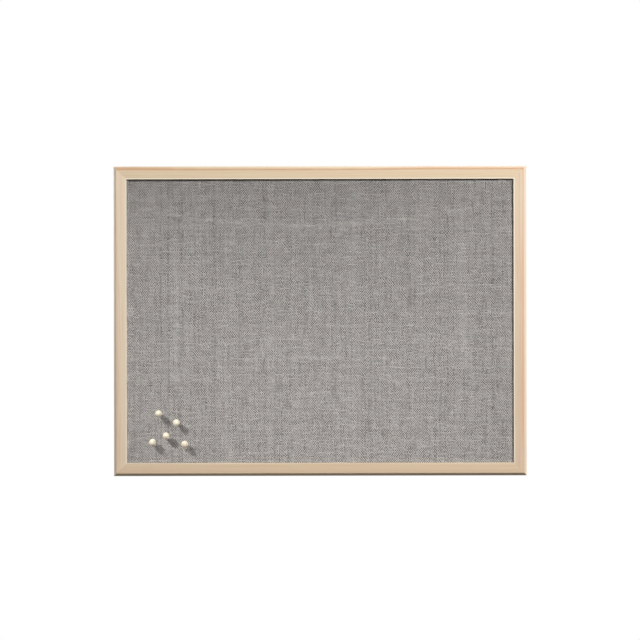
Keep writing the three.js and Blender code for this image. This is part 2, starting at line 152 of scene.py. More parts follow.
class PinBoardSizes(bpy.types.PropertyGroup):
    """Sizes of the parts that are modelled over the solids"""

    lip_depth: length("Lip depth", "Front of the frame to the rear of its lip", 4)
    lip_width: length("Lip width", "Part of the moulding that overlaps the linen", 6)
    chamfer_width: length("Chamfer width", "Outer bevel of the frame seen from the front", 4)
    chamfer_depth: length("Chamfer depth", "Outer bevel of the frame seen from the side", 6.5)
    sight_edge: length("Sight edge", "Rounding along the frame's inner front edge", 1)
    soft_edge: length("Softened edge", "Rounding of every other wooden edge", 0.35)
    eased_corner: length("Eased corner", "Part of each outer corner that is rubbed off", 0.3)
    glue_line: length("Glue line", "Glue in each mitre", 0.02)
    v_wing: length("V-nail wing", "Length of each wing of a V-nail", 5)
    v_slot: length("V-nail slot", "Width of the slot that a V-nail wing leaves", 0.9)
    v_depth: length("V-nail depth", "Depth of the V-nail slots", 9)
    v_spread: number("V-nail spread", "Degrees from the mitre to a wing", 60)
    cloth: length("Linen thickness", "Thickness of the linen", 0.8)
    fold: length("Linen fold", "Outside radius where the linen turns over the board", 1.2)
    hem: length("Hem", "Linen turned in on the back of the board", 22)
    cell: length("Linen cell", "Size of the linen's mesh cells", 6)
    slack: length("Linen slack", "How far the stretched linen rises and falls", 0.12)
    warp: length("Warp pitch", "From one upright thread to the next", 1.585)
    weft: length("Weft pitch", "From one level thread to the next", 1.86)
    panel_corner: length("Panel corner", "Rounding of the back panel's corners", 1.5)
    panel_edge: length("Panel edge", "Rounding along the back panel's edges", 0.35)
    wire: length("Ring wire", "Radius of the hanger ring's wire", 0.9)
    ring_half: length("Ring half width", "Middle of the ring to the wire's middle", 5.3)
    ring_drop: length("Ring drop", "Ring's axis to the lowest part of its wire", 10)
    ring_corner: length("Ring corner", "Bend radius at the ring's upper corners", 2)
    ring_split: length("Ring split", "Space between the ends of the ring's wire", 0.5)
    strap: length("Strap thickness", "Thickness of the hanger strap", 0.7)
    strap_curl: number("Strap curl", "Degrees that the strap turns round the ring", 200)
    screw_head: length("Screw head", "Height of a hanger screw's head", 1.9)
    screw_shank: length("Screw shank", "Radius of a hanger screw's shank", 1.4)
    screw_point: length("Screw point", "Length of a hanger screw's point", 3)
    pad_edge: length("Pad edge", "Rounding of a felt pad's free face", 0.9)
    ball: length("Pin ball", "Radius of a push pin's ball", 4.95)
    ball_height: length("Pin ball height", "Foot of a push pin to its ball's middle", 10.5)
    foot: length("Pin foot", "Radius of a push pin's foot", 1.9)
    neck: number("Pin neck", "Degrees below the ball's middle where the neck starts", 30)
    needle: length("Needle", "Radius of a push pin's needle", 0.55)
    needle_reach: length("Needle reach", "Length of the needle beyond the foot", 9)
    needle_tip: length("Needle tip", "Length of the needle's point", 2.5)
    needle_bite: length("Needle bite", "Length of the needle inside the head", 6)


class PinBoardColours(bpy.types.PropertyGroup):
    """Colours of the finishes"""

    # Each side's pine is partly the wood's own tone and partly painted light: the left and bottom
    # sides are made lighter where the lamps light them less.
    pine_top: colour("Top rail", "Pine of the top rail", 214, 195, 165)
    pine_right: colour("Right stile", "Pine of the right stile", 214, 197, 172)
    pine_bottom: colour("Bottom rail", "Pine of the bottom rail", 221, 198, 168)
    pine_left: colour("Left stile", "Pine of the left stile", 229, 210, 184)
    pine_blush: colour("Blushing pine", "Pinkish bands of the frame", 217, 181, 153)
    pine_late: colour("Late pine", "Late wood lines of the frame", 196, 157, 120)
    # Painted highlight: a pale tone laid along the frame's sight edge and the outer edge of its
    # chamfer.
    pine_highlight: colour("Pale arris", "Rubbed wood along the sight edge", 246, 234, 214)
    linen_light: colour("Light yarn", "Paler linen threads", 209, 204, 200)
    linen_dark: colour("Dark yarn", "Darker linen threads", 66, 63, 62)
    softboard: colour("Softboard", "Core of the board", 169, 141, 106)
    hardboard: colour("Hardboard", "Back panel", 126, 93, 64)
    hardboard_dark: colour("Hardboard fibre", "Darker fibres of the back panel", 84, 58, 38)
    steel: colour("Steel", "Plated hangers, points and staples", 170, 172, 175)
    felt: colour("Felt", "Pads on the bottom rail", 82, 79, 76)
    felt_fibre: colour("Felt fibre", "Paler fibres of the pads", 128, 124, 120)
    pin_wood: colour("Pin wood", "Turned heads of the push pins", 242, 234, 212)
    pin_grain: colour("Pin grain", "Grain of the push pins", 226, 209, 178)
    pin_warm: colour("Warm pin wood", "Warmer wood among the push pins", 232, 196, 170)
    floor: colour("Floor", "Pale floor", 238, 237, 235)


def chosen(context):
    """The sizes and colours that the user has set."""
    return context.scene.pinboard_sizes, context.scene.pinboard_colours


# Bench work: selecting, shaping and finishing a piece.


def clear_bench():
    """Leaves nothing selected, in object mode."""
    if bpy.context.object and bpy.context.object.mode != "OBJECT":
        bpy.ops.object.mode_set(mode="OBJECT")
    bpy.ops.object.select_all(action="DESELECT")


def take_up(piece):
    clear_bench()
    piece.select_set(True)
    bpy.context.view_layer.objects.active = piece


def start_shaping(piece):
    take_up(piece)
    bpy.ops.object.mode_set(mode="EDIT")
    bpy.ops.mesh.select_mode(type="FACE")
    bpy.ops.mesh.select_all(action="SELECT")


def blank(name):
    """The primitive that was just added, with its place in its mesh."""
    piece = bpy.context.object
    piece.name = piece.data.name = name
    bpy.ops.object.transform_apply(location=True, rotation=True, scale=True)
    return piece


def block(name, low, high, turn=0):
    """A block between two corners, turned in its place about the board's depth, in radians."""
    low, high = Vector(low), Vector(high)
    clear_bench()
    bpy.ops.mesh.primitive_cube_add(
        size=1, location=(low + high) / 2, rotation=(0, turn, 0), scale=high - low
    )
    return blank(name)


def mark(piece, kind, wanted):
    """Selects the faces or edges whose every corner passes a test."""
    bpy.ops.mesh.select_mode(type=kind)
    bpy.ops.mesh.select_all(action="DESELECT")
    mesh = bmesh.from_edit_mesh(piece.data)
    for part in mesh.faces if kind == "FACE" else mesh.edges:
        if all(wanted(corner.co) for corner in part.verts):
            part.select_set(True)
    bmesh.update_edit_mesh(piece.data)


def mark_through(piece, wanted=lambda point: True):
    """Selects the edges that run through the thickness, along y, where a test passes."""
    mark(piece, "EDGE", wanted)
    for edge in bmesh.from_edit_mesh(piece.data).edges:
        start, end = [corner.co for corner in edge.verts]
        if abs(end.y - start.y) < edge.calc_length() - TINY:
            edge.select_set(False)


def push(x, y, z):
    bpy.ops.mesh.extrude_region_move(TRANSFORM_OT_translate={"value": (x, y, z)})


def sweep(degrees, centre, axis, steps):
    """Carries the selected face round an axis, right-handed."""
    bpy.ops.mesh.spin(steps=steps, angle=-math.radians(degrees), center=centre, axis=axis)


def slice_off(point, normal):
    """Saws off what lies beyond a plane and closes the cut with one face."""
    bpy.ops.mesh.select_mode(type="EDGE")
    bpy.ops.mesh.select_all(action="SELECT")
    normal = Vector(normal).normalized()
    bpy.ops.mesh.bisect(plane_co=point, plane_no=normal, clear_outer=True, threshold=SEAM)
    bpy.ops.mesh.edge_face_add()


def add_modifier(piece, kind, **settings):
    take_up(piece)
    bpy.ops.object.modifier_add(type=kind)
    modifier = piece.modifiers[-1]
    for key, value in settings.items():
        setattr(modifier, key, value)
    bpy.ops.object.modifier_apply(modifier=modifier.name)


def soften(piece, width, segments=2, degrees=40):
    add_modifier(
        piece, "BEVEL", width=width, segments=segments,
        limit_method="ANGLE", angle_limit=math.radians(degrees),
    )


def cut_away(piece, cutter):
    add_modifier(piece, "BOOLEAN", operation="DIFFERENCE", solver="EXACT", object=cutter)
    bpy.data.objects.remove(cutter)


def clean(piece, degrees=35):
    """Closes seams, turns every face outwards and smooths the round parts."""
    start_shaping(piece)
    bpy.ops.mesh.remove_doubles(threshold=SEAM)
    bpy.ops.mesh.normals_make_consistent(inside=False)
    take_up(piece)
    bpy.ops.object.shade_smooth_by_angle(angle=math.radians(degrees))


def lay(piece, turn, place=(0, 0, 0)):
    """Turns a piece about the board's middle, then moves it, and keeps that in its mesh."""
    take_up(piece)
    piece.rotation_mode = "QUATERNION"
    piece.rotation_quaternion = turn
    piece.location = place
    bpy.ops.object.transform_apply(location=True, rotation=True, scale=True)
    piece.rotation_mode = "XYZ"


def about_depth(degrees):
    return Quaternion(REAR, math.radians(degrees))


def copy_of(piece, name):
    take_up(piece)
    bpy.ops.object.duplicate(linked=False)
    twin = bpy.context.object
    twin.name = twin.data.name = name
    return twin


def turned(name, profile, sides):
    """A piece turned about z from (radius, height) steps; a last radius of 0 closes it."""
    radius, height = profile[0]
    clear_bench()
    bpy.ops.mesh.primitive_circle_add(
        vertices=sides, radius=radius, fill_type="NGON", location=(0, 0, height)
    )
    piece = blank(name)
    start_shaping(piece)
    for next_radius, next_height in profile[1:]:
        push(0, 0, next_height - height)
        if next_radius == 0:
            bpy.ops.mesh.merge(type="CENTER")
            break
        share = next_radius / radius
        bpy.ops.transform.resize(value=(share, share, 1), center_override=(0, 0, next_height))
        radius, height = next_radius, next_height
    take_up(piece)
    return piece


def arc(centre, radius, start, end, steps):
    """Points of an arc as (radius, height) steps, in degrees from level."""
    across, up = centre
    for i in range(steps + 1):
        angle = math.radians(start + (end - start) * i / steps)
        yield across + radius * math.cos(angle), up + radius * math.sin(angle)


def dress(piece, finish, body=None, nodes=()):
    """Gives a piece its finish; a new piece also gets its body and the solids it stands for."""
    piece.data.materials.clear()
    piece.data.materials.append(finish)
    if body:
        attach(piece, body)
        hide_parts(*nodes)


# Finishes: sums on wires add their own nodes.


class Wire:
    """A socket of a finish that can be used in sums."""

    def __init__(self, finish, socket):
        self.finish, self.socket = finish, socket

    def __add__(self, other):
        return self.finish.sum("ADD", self, other)

    def __sub__(self, other):
        return self.finish.sum("SUBTRACT", self, other)

    def __rsub__(self, other):
        return self.finish.sum("SUBTRACT", other, self)

    def __mul__(self, other):
        return self.finish.sum("MULTIPLY", self, other)

    def __truediv__(self, other):
        return self.finish.sum("DIVIDE", self, other)

    __radd__ = __add__
    __rmul__ = __mul__


class Finish:
    """The nodes of a material, or of the surround, around its one shader."""

    def __init__(self, owner, shader="Principled BSDF"):
        owner.use_nodes = True
        self.owner, self.tree = owner, owner.node_tree
        self.shader = self.tree.nodes[shader]

    def connect(self, node, sockets):
        for key, value in sockets.items():
            if isinstance(value, Wire):
                self.tree.links.new(value.socket, node.inputs[key])
            else:
                node.inputs[key].default_value = value

    def node(self, kind, settings=None, sockets=None, output=0):
        made = self.tree.nodes.new(kind)
        for key, value in (settings or {}).items():
            setattr(made, key, value)
        self.connect(made, sockets or {})
        return Wire(self, made.outputs[output])

    def sum(self, operation, *values):
        return self.node("ShaderNodeMath", {"operation": operation}, dict(enumerate(values)))

    def place(self):
        """Where a point of the piece is, in millimetres: right, back and up."""
        spot = self.node("ShaderNodeTexCoord", output="Object")
        parts = self.node("ShaderNodeSeparateXYZ", sockets={0: spot}).socket.node.outputs
        return [Wire(self, part) * (1 / MM) for part in parts]

    def point(self, x, y, z):
        return self.node("ShaderNodeCombineXYZ", sockets={0: x, 1: y, 2: z})

    def noise(self, x, y, z, detail=2.0, roughness=0.5):
        """Soft noise, one bump for each unit of x, y and z."""
        sockets = {
            "Vector": self.point(x, y, z), "Scale": 1.0, "Detail": detail, "Roughness": roughness
        }
        return self.node("ShaderNodeTexNoise", sockets=sockets)

    def chance(self, x, y, z=0.0):
        """A steady random value for each whole x, y and z."""
        settings = {"noise_dimensions": "3D"}
        return self.node(
            "ShaderNodeTexWhiteNoise", settings, {"Vector": self.point(x, y, z)}, "Value"
        )

    def ramp(self, value, low, high):
        """0 below low, 1 above high and a smooth rise between them."""
        settings = {"interpolation_type": "SMOOTHSTEP"}
        return self.node("ShaderNodeMapRange", settings, {0: value, 1: low, 2: high})

    def mix(self, share, first, second):
        return self.node(
            "ShaderNodeMix", {"data_type": "RGBA"},
            {0: share, 6: self.opaque(first), 7: self.opaque(second)}, 2,
        )

    def tint(self, tone, value):
        """A colour made lighter or darker by a value."""
        return self.node(
            "ShaderNodeVectorMath", {"operation": "SCALE"}, {0: tone, "Scale": value}
        )

    def bump(self, height, depth, strength):
        """Relief of so many millimetres."""
        sockets = {"Height": height, "Distance": depth * MM, "Strength": strength}
        return self.node("ShaderNodeBump", sockets=sockets)

    @staticmethod
    def opaque(tone):
        return tone if isinstance(tone, Wire) else (*tone, 1.0)

    def seen(self):
        """1 where a ray from the camera, a mirror or glass arrives."""
        rays = [
            self.node("ShaderNodeLightPath", output=f"Is {kind} Ray")
            for kind in ("Camera", "Glossy", "Transmission")
        ]
        return self.sum("MAXIMUM", self.sum("MAXIMUM", rays[0], rays[1]), rays[2])

    def done(self, **sockets):
        """Feeds the shader, whose sockets are named with _ for a space."""
        self.connect(self.shader, {key.replace("_", " "): v for key, v in sockets.items()})
        return self.owner


def new_finish(name):
    return Finish(bpy.data.materials.new(name))


def pine(name, colours, side, sight):
    """Clear-lacquered pine with its grain along the moulding."""
    finish = new_finish(name)
    x, y, z = finish.place()
    turn = math.radians(SIDES[side][1])
    sine, cosine = round(math.sin(turn)), round(math.cos(turn))
    run = x * cosine - z * sine  # along the moulding
    reach = x * sine + z * cosine - sight / MM  # outwards from its sight edge
    drift, blush_share, heart_share, highlight_share = PINE_LOOKS[side]

    # Growth rings that wander across the wood; each darkens towards its late wood.
    wander = finish.noise(run / RING_RUN, reach / 11, y / 11 + drift)
    ring = finish.sum("FRACT", (reach + y * 0.4) / RING_PITCH + wander * 3.6 + drift)
    late = finish.ramp(ring, 0.3, 0.85) * (1 - finish.ramp(ring, 0.85, 1.0))
    late = late * finish.ramp(finish.noise(run / LATE_RUN, reach / 4, y / 4 - drift), 0.3, 0.65)

    # The heart line, thin in the middle of the rail and spreading towards its ends.
    swerve = finish.sum("ABSOLUTE", run - HEART_MIDDLE)
    swerve = finish.ramp(swerve, SWERVE_FROM, SWERVE_TO)
    beyond = reach - HEART_LINE - (y - FRONT / MM) * HEART_LEAN - wander * 1.5 - swerve * 0.8
    outer_fade = finish.ramp(beyond, 0.0, HEART_OUTER + swerve * 2.2)
    heart = finish.ramp(beyond, -HEART_INNER, 0.0) * (1 - outer_fade)
    heart = heart * (0.4 + finish.noise(run / HEART_RUN, drift, 0.0) * 1.1 + swerve * 0.3)

    # A pinkish blush that is strongest in the outer half of the face, and a painted highlight
    # along the sight edge, weaker along the outer edge of the chamfer.
    blush = finish.noise(run / BLUSH_RUN, reach / 6, y / 6 + drift * 3)
    outwards = 0.15 + finish.ramp(reach, 3.0, 11.0) * 0.85
    outwards = outwards - finish.ramp(reach, 14.5, 17.0) * 0.7
    blush = finish.ramp(blush, 0.34, 0.6) * outwards
    # Painted highlight: pale along the sight edge and, weaker, along the outer edge of the
    # chamfer.
    painted_edges = 1 - finish.ramp(reach, 0.8, 2.2) + finish.ramp(reach, 15.0, 18.5) * 0.28

    fibre = finish.noise(run / FIBRE_RUN, reach / 0.4, y / 0.4)
    # The side's own pine, lightened on the left and bottom sides as painted light.
    tone = finish.mix(blush * blush_share, getattr(colours, f"pine_{side}"), colours.pine_blush)
    tone = finish.mix(late * 0.28, tone, colours.pine_late)
    tone = finish.mix(heart * heart_share, tone, colours.pine_late)
    # The pale tone mixed in here is a painted highlight on the frame's edges.
    tone = finish.mix(painted_edges * highlight_share, tone, colours.pine_highlight)
    tone = finish.tint(tone, 0.96 + fibre * 0.08)
    return finish.done(
        Base_Color=tone,
        Roughness=0.44 + fibre * 0.14,
        Normal=finish.bump(fibre * 0.6 + late * 0.4, 0.05, 0.5),
        Specular_IOR_Level=0.35,
    )


def crease(finish, off, along, reach, half_width):
    """A soft line where cloth was folded: 1 on the line, 0 beside it and beyond its ends."""
    near = 1 - finish.ramp(finish.sum("ABSOLUTE", off), 0.0, half_width)
    fade = min(30, reach / 3)
    return near * finish.ramp(along, 0.0, fade) * (1 - finish.ramp(along, reach - fade, reach))


def creases(finish, x, z):
    """The straight creases, and one that sags across the upper part of the linen."""
    off = z - x * x * SAG_CURVE - x * SAG_TILT - SAG_HEIGHT
    total = crease(finish, off, x - SAG_START, SAG_LENGTH, SAG_HALF_WIDTH)
    for start_x, start_z, end_x, end_z, half_width in CREASES:
        line = Vector((end_x - start_x, end_z - start_z))
        across, up = line.normalized()
        off = (x - start_x) * up - (z - start_z) * across
        along = (x - start_x) * across + (z - start_z) * up
        total = total + crease(finish, off, along, line.length, half_width)
    return total


def linen(name, colours, sizes):
    """Plain weave of two slubby yarns, one thread over the next."""
    finish = new_finish(name)
    x, y, z = finish.place()
    sway_run, cloud_run, slub_up_run, slub_level_run = 40, 45, 20, 12  # millimetres
    fibre_width, fibre_run = 0.14, 2.4

    # Each upright thread, or end, and each level one, or pick, has a number. They sway a little.
    sway = finish.noise(x / sway_run, z / sway_run, y / sway_run, 3.0)
    sway = (sway - 0.5) * 3.6
    warp = x / (sizes.warp / MM) + sway
    weft = z / (sizes.weft / MM) + sway
    end, pick = finish.sum("FLOOR", warp), finish.sum("FLOOR", weft)

    # At every other crossing the end lies over the pick. The thread on top is crowned.
    warp_part, weft_part = warp - end, weft - pick
    warp_crown = warp_part * (1 - warp_part) * 4
    weft_crown = weft_part * (1 - weft_part) * 4
    over = finish.sum("FLOORED_MODULO", end + pick, 2.0)
    under = 1 - over
    height = over * warp_crown * (0.5 + weft_crown * 0.5)
    height = height + under * weft_crown * (0.5 + warp_crown * 0.5)

    # Slubs, fibres and the shade of whole threads. A constant place only keeps draws apart.
    slub_up = finish.noise(end * 3.7, z / slub_up_run, 2.5)
    slub_level = finish.noise(pick * 3.7, x / slub_level_run, 7.5)
    slub = over * slub_up + under * slub_level
    fibre_up = finish.noise(x / fibre_width, z / fibre_run, 3.5)
    fibre_level = finish.noise(z / fibre_width, x / fibre_run, 8.5)
    fibre = over * fibre_up + under * fibre_level
    shade_up, shade_level = finish.chance(end, 3.0, 1.0), finish.chance(pick, 9.0, 2.0)
    thread = over * shade_up * 1.5 + under * shade_level

    # Flecks differ from the crossings beside them, so that they don't gather in patches.
    beside = finish.chance(end + 1, pick) + finish.chance(end - 1, pick)
    beside = beside + finish.chance(end, pick + 1) + finish.chance(end, pick - 1)
    fleck = finish.chance(end, pick) - beside / 4
    cloud = finish.noise(x / cloud_run, z / cloud_run, 4.0, 3.0)

    # Shares of all these in the lightness, which runs from the dark yarn to the light one; the
    # height's share is painted shade, darker in the gaps between threads.
    light = over * 0.57 + fleck * 0.45 + slub * 1.3 + thread * 0.2 + cloud * 0.1
    # The height term paints shade into the colour: lighter on the thread crowns, darker between
    # threads.
    light = light + height * 0.7 + fibre * 0.85 - 1.38
    light = light + creases(finish, x, z) * CREASE_LIGHT
    tone = finish.mix(light, colours.linen_dark, colours.linen_light)
    return finish.done(
        Base_Color=tone,
        Roughness=0.92,
        Normal=finish.bump(height + fibre * 0.25, 0.35, 0.7),
        Specular_IOR_Level=0.15,
        Sheen_Weight=0.05,
    )


def plated_steel(name, colours):
    """Cloudy plating with fine scratches."""
    finish = new_finish(name)
    x, y, z = finish.place()
    cloud = finish.noise(x / 2.5, y / 2.5, z / 2.5, 3.0)
    scratch = finish.noise(x / 0.15, y / 0.15, z / 1.8, 2.0)
    tone = finish.tint(colours.steel, 0.78 + cloud * 0.3 + scratch * 0.1)
    return finish.done(
        Base_Color=tone,
        Metallic=1.0,
        Roughness=0.22 + cloud * 0.18 + scratch * 0.1,
        Normal=finish.bump(scratch, 0.02, 0.3),
    )


def pressed_board(name, tone, fibre_tone, screen):
    """Pressed wood fibre with the print of a screen of that pitch."""
    finish = new_finish(name)
    x, y, z = finish.place()
    fibre = finish.noise(x / 1.1, y / 1.1, z / 0.5, 4.0, 0.6)
    mottle = finish.noise(x / 5, y / 5, z / 5, 4.0, 0.65)
    cloud = finish.noise(x / 120, y / 120, z / 120)
    turn = math.tau / screen
    net = finish.sum("SINE", x * turn) * finish.sum("SINE", z * turn)
    share = finish.ramp(fibre * 0.4 + mottle * 0.5 + cloud * 0.15 - net * 0.06, 0.36, 0.7)
    return finish.done(
        Base_Color=finish.mix(share, tone, fibre_tone),
        Roughness=0.72 + fibre * 0.15,
        Normal=finish.bump(net * 0.5 + fibre, 0.18, 0.55),
        Specular_IOR_Level=0.25,
    )


def felt(name, colours):
    """Tangled fibres with paler strands."""
    finish = new_finish(name)
    x, y, z = finish.place()
    tangle = finish.noise(x / 0.6 + y / 2, y / 0.5, z / 0.6 + x / 2, 5.0, 0.7)
    strand = finish.ramp(finish.noise(x / 0.18, y / 0.18, z / 1.4, 3.0), 0.5, 0.75)
    tone = finish.mix(strand * 0.6 + tangle * 0.3, colours.felt, colours.felt_fibre)
    return finish.done(
        Base_Color=tone,
        Roughness=0.97,
        Normal=finish.bump(tangle + strand * 0.6, 0.4, 0.8),
        Specular_IOR_Level=0.1,
        Sheen_Weight=0.25,
    )


def pin_wood(name, colours, axis, warmth):
    """Pale close-grained wood, its grain along the pin."""
    finish = new_finish(name)
    spot = finish.place()
    along = spot[0] * axis.x + spot[1] * axis.y + spot[2] * axis.z
    drawn_out = 0.93  # how far the grain is stretched along the pin, 1 for endless
    x, y, z = [part - along * (share * drawn_out) for part, share in zip(spot, axis)]
    grain = finish.noise(x / 0.7, y / 0.7, z / 0.7, 3.0, 0.6)
    pore = finish.ramp(finish.noise(x / 0.22, y / 0.22, z / 0.22), 0.6, 0.78)
    tone = finish.mix(
        finish.ramp(grain, 0.42, 0.72) * 0.5 + pore * 0.3, colours.pin_wood, colours.pin_grain
    )
    tone = finish.mix(warmth, tone, colours.pin_warm)
    return finish.done(
        Base_Color=tone,
        Roughness=0.4 + grain * 0.15,
        Normal=finish.bump(grain, 0.05, 0.3),
        Specular_IOR_Level=0.4,
    )


# Pine frame


def moulding(name, sizes, sight_length, sight):
    """One side of the frame lying along x, with its sight edge at that height."""
    outer, step = sight + FRAME_WIDTH, sight + sizes.lip_width
    half = sight_length / 2 + 2 * FRAME_WIDTH  # both ends are sawn off later
    lip_rear = FRONT + sizes.lip_depth
    piece = block(name, (-half, FRONT, sight), (half, lip_rear, outer))
    start_shaping(piece)
    bpy.ops.mesh.bisect(plane_co=(0, 0, step), plane_no=(0, 0, 1))
    mark(piece, "FACE", lambda p: p.y > lip_rear - TINY and p.z > step - TINY)
    push(0, -lip_rear, 0)
    chamfer = (0, -sizes.chamfer_width, sizes.chamfer_depth)
    slice_off((0, FRONT, outer - sizes.chamfer_width), chamfer)
    mark(piece, "EDGE", lambda p: p.y < FRONT + TINY and p.z < sight + TINY)
    bpy.ops.mesh.bevel(offset=sizes.sight_edge, segments=6, profile=0.82)
    soften(piece, sizes.soft_edge, segments=3, degrees=28)
    start_shaping(piece)
    for end in (-1, 1):
        corner = end * (sight_length / 2 - sizes.glue_line)
        slice_off((corner, 0, sight), (end, 0, -1))
        slice_off((corner + end * (FRAME_WIDTH - sizes.eased_corner), 0, outer), (end, 0, 1))
    return piece


def cut_v_slots(piece, sizes, sight_length, sight):
    """Slots of the V-nails that hold the mitres, one wing at each end."""
    lean = math.radians(45 + sizes.v_spread)
    reach = sizes.v_wing * math.sin(lean)
    apex = sizes.lip_width + (FRAME_WIDTH - sizes.lip_width - reach) / 2
    proud = 0.5 * MM  # how far a cutter stands out of the rear
    for end in (-1, 1):
        middle = Vector((
            end * (sight_length / 2 + apex + sizes.v_wing / 2 * math.cos(lean)),
            (proud - sizes.v_depth) / 2,
            sight + apex + reach / 2,
        ))
        half = Vector((sizes.v_wing + sizes.v_slot, sizes.v_depth + proud, sizes.v_slot)) / 2
        turn = -lean if end > 0 else lean
        cut_away(piece, block("v_slot", middle - half, middle + half, turn))


def cut_point_slots(piece, side, count):
    """Slots where the retaining points enter the rebate."""
    for i in range(count):
        low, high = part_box(f"{side}_point_{i + 1}")
        room = Vector((0.1, 0.1, 0.1)) * MM
        cut_away(piece, block("point_slot", low - room, high + room))


class PINBOARD_OT_frame(bpy.types.Operator):
    """Mitred pine mouldings with chamfer, sight edge and rebate"""

    bl_idname = "pinboard.frame"
    bl_label = "Pine frame"

    def execute(self, context):
        sizes, colours = chosen(context)
        lengths = {"rail": (2 * SIGHT_X, SIGHT_Z), "stile": (2 * SIGHT_Z, SIGHT_X)}
        models = {}
        for kind, (sight_length, sight) in lengths.items():
            models[kind] = moulding(f"{kind}_model", sizes, sight_length, sight)
            cut_v_slots(models[kind], sizes, sight_length, sight)
        for side, (kind, turn, points) in SIDES.items():
            node = f"{side}_{kind}"
            piece = copy_of(models[kind], f"{node}_moulding")
            lay(piece, about_depth(turn))
            cut_point_slots(piece, side, points)
            clean(piece)
            finish = pine(f"pine_{side}", colours, side, lengths[kind][1])
            dress(piece, finish, "board", [node])
        for model in models.values():
            bpy.data.objects.remove(model)
        return {"FINISHED"}


# Linen and the board under it


def linen_sheet(name, sizes):
    """Linen over the front of the board, turned over its edges and hemmed on its back."""
    low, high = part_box("linen_cover")
    middle, fold = (low + high) / 2, sizes.fold
    flat_x, flat_z = (high.x - low.x) / 2 - fold, (high.z - low.z) / 2 - fold
    smooth = 60  # degrees, so that the folds look round
    clear_bench()
    bpy.ops.mesh.primitive_grid_add(
        x_subdivisions=round(2 * flat_x / sizes.cell),
        y_subdivisions=round(2 * flat_z / sizes.cell),
        size=1,
        location=(middle.x, low.y, middle.z),
        rotation=(math.pi / 2, 0, 0),
    )
    bpy.context.object.scale = (2 * flat_x, 2 * flat_z, 1)
    piece = blank(name)
    start_shaping(piece)
    bpy.ops.mesh.region_to_loop()
    spread, depth = 0.0, low.y
    turns = [*arc((0, low.y + fold), fold, -90, 0, 4)][1:]
    turns += arc((0, high.y - fold), fold, 0, 90, 4)
    turns += [(fold - sizes.hem / 2, high.y), (fold - sizes.hem, high.y)]
    for next_spread, next_depth in turns:
        push(0, next_depth - depth, 0)
        share_x = (flat_x + next_spread) / (flat_x + spread)
        share_z = (flat_z + next_spread) / (flat_z + spread)
        bpy.ops.transform.resize(
            value=(share_x, 1, share_z), center_override=(middle.x, next_depth, middle.z)
        )
        spread, depth = next_spread, next_depth
    clean(piece, smooth)
    ripple = bpy.data.textures.new("linen_ripple", "CLOUDS")
    ripple.noise_scale = 0.07
    add_modifier(
        piece, "DISPLACE", texture=ripple, texture_coords="LOCAL", strength=sizes.slack,
        mid_level=0.5,
    )
    add_modifier(piece, "SOLIDIFY", thickness=sizes.cloth, offset=-1, use_even_offset=True)
    take_up(piece)
    bpy.ops.object.shade_smooth_by_angle(angle=math.radians(smooth))
    return piece


class PINBOARD_OT_linen(bpy.types.Operator):
    """Linen stretched over the soft core and stapled on its back"""

    bl_idname = "pinboard.linen"
    bl_label = "Stretched linen"

    def execute(self, context):
        sizes, colours = chosen(context)
        sheet = linen_sheet("linen_sheet", sizes)
        dress(sheet, linen("grey_linen", colours, sizes), "board", ["linen_cover"])
        core = pressed_board(
            "softboard", colours.softboard, colours.hardboard, SOFTBOARD_SCREEN
        )
        dress(frame["nodes"]["core_board"], core)
        return {"FINISHED"}


class PINBOARD_OT_back(bpy.types.Operator):
    """Hardboard back panel with eased edges and corners"""

    bl_idname = "pinboard.back"
    bl_label = "Back panel"

    def execute(self, context):
        sizes, colours = chosen(context)
        low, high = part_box("back_panel")
        panel = block("hardboard_back", low, high)
        start_shaping(panel)
        mark_through(panel)
        bpy.ops.mesh.bevel(offset=sizes.panel_corner, segments=4, profile=0.5)
        soften(panel, sizes.panel_edge)
        start_shaping(panel)
        border = 0.8 * MM  # keeps the rounded edges from shading the wide faces
        for face in (low.y, high.y):
            mark(panel, "FACE", lambda p: abs(p.y - face) < TINY)
            bpy.ops.mesh.inset(thickness=border)
        clean(panel)
        finish = pressed_board(
            "hardboard", colours.hardboard, colours.hardboard_dark, HARDBOARD_SCREEN
        )
        dress(panel, finish, "board", ["back_panel"])
        return {"FINISHED"}


# Fastenings


def retaining_point(name):
    """A point with its tip up, its middle at the origin, thickness along y."""
    low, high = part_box("top_point_1")
    size = high - low
    half, neck = size.x / 2, size.z / 2 - size.x / 2
    tip_share, round_corner, edge = 0.06, 1.1 * MM, 0.06 * MM
    piece = block(name, (-half, -size.y / 2, -size.z / 2), (half, size.y / 2, neck))
    start_shaping(piece)
    mark(piece, "FACE", lambda p: p.z > neck - TINY)
    push(0, 0, half)
    bpy.ops.transform.resize(value=(tip_share, 1, 1), center_override=(0, 0, size.z / 2))
    mark_through(piece, lambda p: p.z < TINY - size.z / 2)
    bpy.ops.mesh.bevel(offset=round_corner, segments=4, profile=0.5)
    soften(piece, edge, segments=1)
    return piece


class PINBOARD_OT_fastenings(bpy.types.Operator):
    """Steel retaining points, V-nails and staples"""

    bl_idname = "pinboard.fastenings"
    bl_label = "Points, V-nails and staples"

    def execute(self, context):
        steel = plated_steel("plated_fastenings", context.scene.pinboard_colours)
        model = retaining_point("point_model")
        for side, (_, turn, count) in SIDES.items():
            for i in range(1, count + 1):
                node = f"{side}_point_{i}"
                low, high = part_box(node)
                point = copy_of(model, f"{node}_steel")
                lay(point, about_depth(turn), (low + high) / 2)
                clean(point)
                dress(point, steel, "board", [node])
        bpy.data.objects.remove(model)
        nodes = [f"cover_staple_{i}" for i in STAPLES]
        for level in ("top", "bottom"):
            nodes += [f"{level}_{hand}_v_nail" for hand in ("left", "right")]
        for node in nodes:
            dress(frame["nodes"][node], steel)
        return {"FINISHED"}


# Hangers and pads


